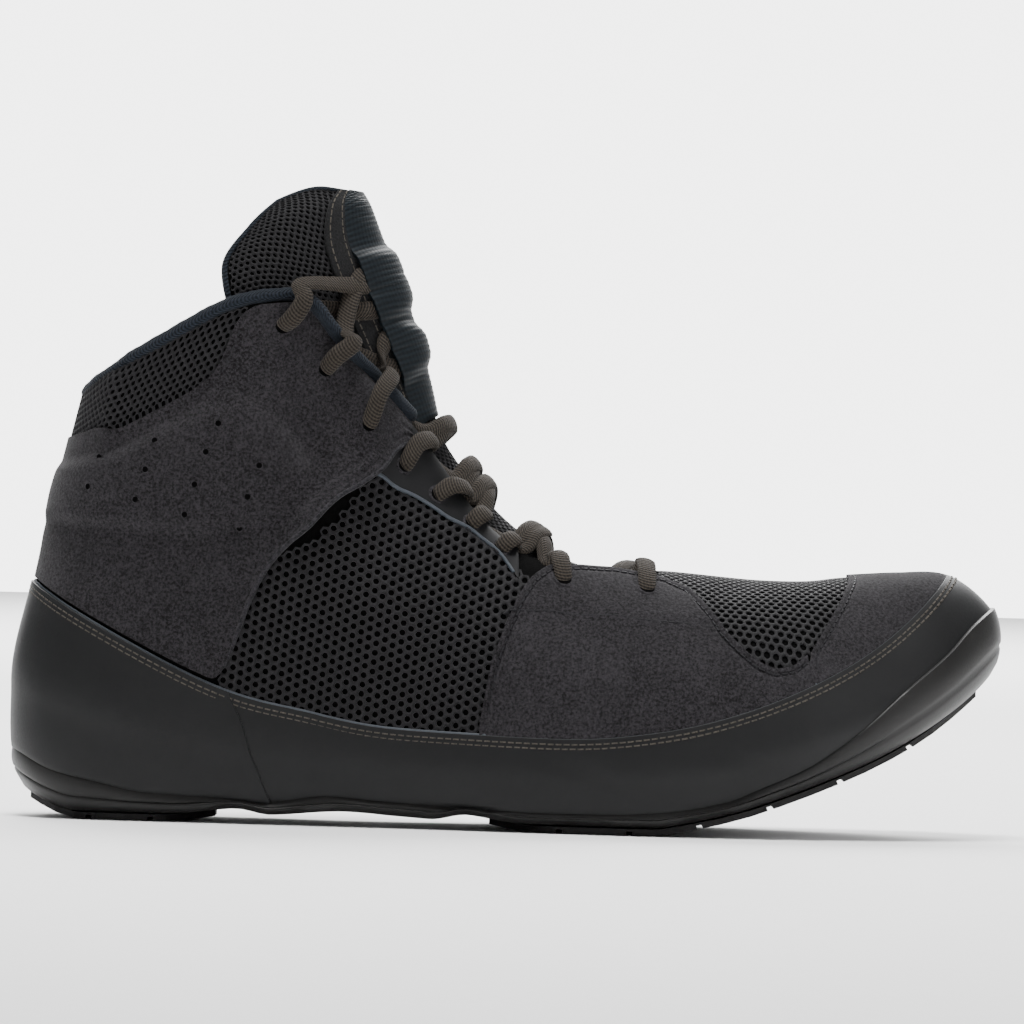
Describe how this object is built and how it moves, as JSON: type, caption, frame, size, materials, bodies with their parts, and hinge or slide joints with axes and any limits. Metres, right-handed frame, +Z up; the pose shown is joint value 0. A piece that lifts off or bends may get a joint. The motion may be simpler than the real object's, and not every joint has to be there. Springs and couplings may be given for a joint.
{
  "type": "wrestling shoe",
  "caption": "Ankle-high wrestling shoe with a mesh bootie, suede panels, a smooth band round the foot, a wrapping tongue, flat laces and a thin cup sole that sweeps up over the toe.",
  "frame": {"origin": "centre of the flat spot under the heel, on the floor", "axes": "+Z up, +X from the heel to the toe, -Y to the outer side of the foot"},
  "size_m": [0.2863, 0.1014, 0.184],
  "materials": {
    "rubber": "matte",
    "cloth": "mesh",
    "foam": "matte",
    "suede": "matte",
    "band": "satin",
    "binding": "matte",
    "ribbon": "satin",
    "lace": "matte"
  },
  "bodies": {
    "root": {"outsole": "rubber", "tread_heel": "rubber", "tread_forefoot": "rubber", "insole": "foam", "upper": "cloth", "tongue": "cloth", "rand": "band", "ankle_wrap": "suede", "side_panel_outer": "suede", "side_panel_inner": "suede", "toe_cap": "suede", "collar_binding": "binding", "tongue_ribbon": "ribbon", "lace_crossing_1": "lace", "lace_crossing_2": "lace", "lace_crossing_3": "lace", "lace_crossing_4": "lace", "lace_crossing_5": "lace", "lace_crossing_6": "lace", "lace_crossing_7": "lace", "lace_crossing_8": "lace", "lace_top_bar": "lace"}
  },
  "joints": []
}
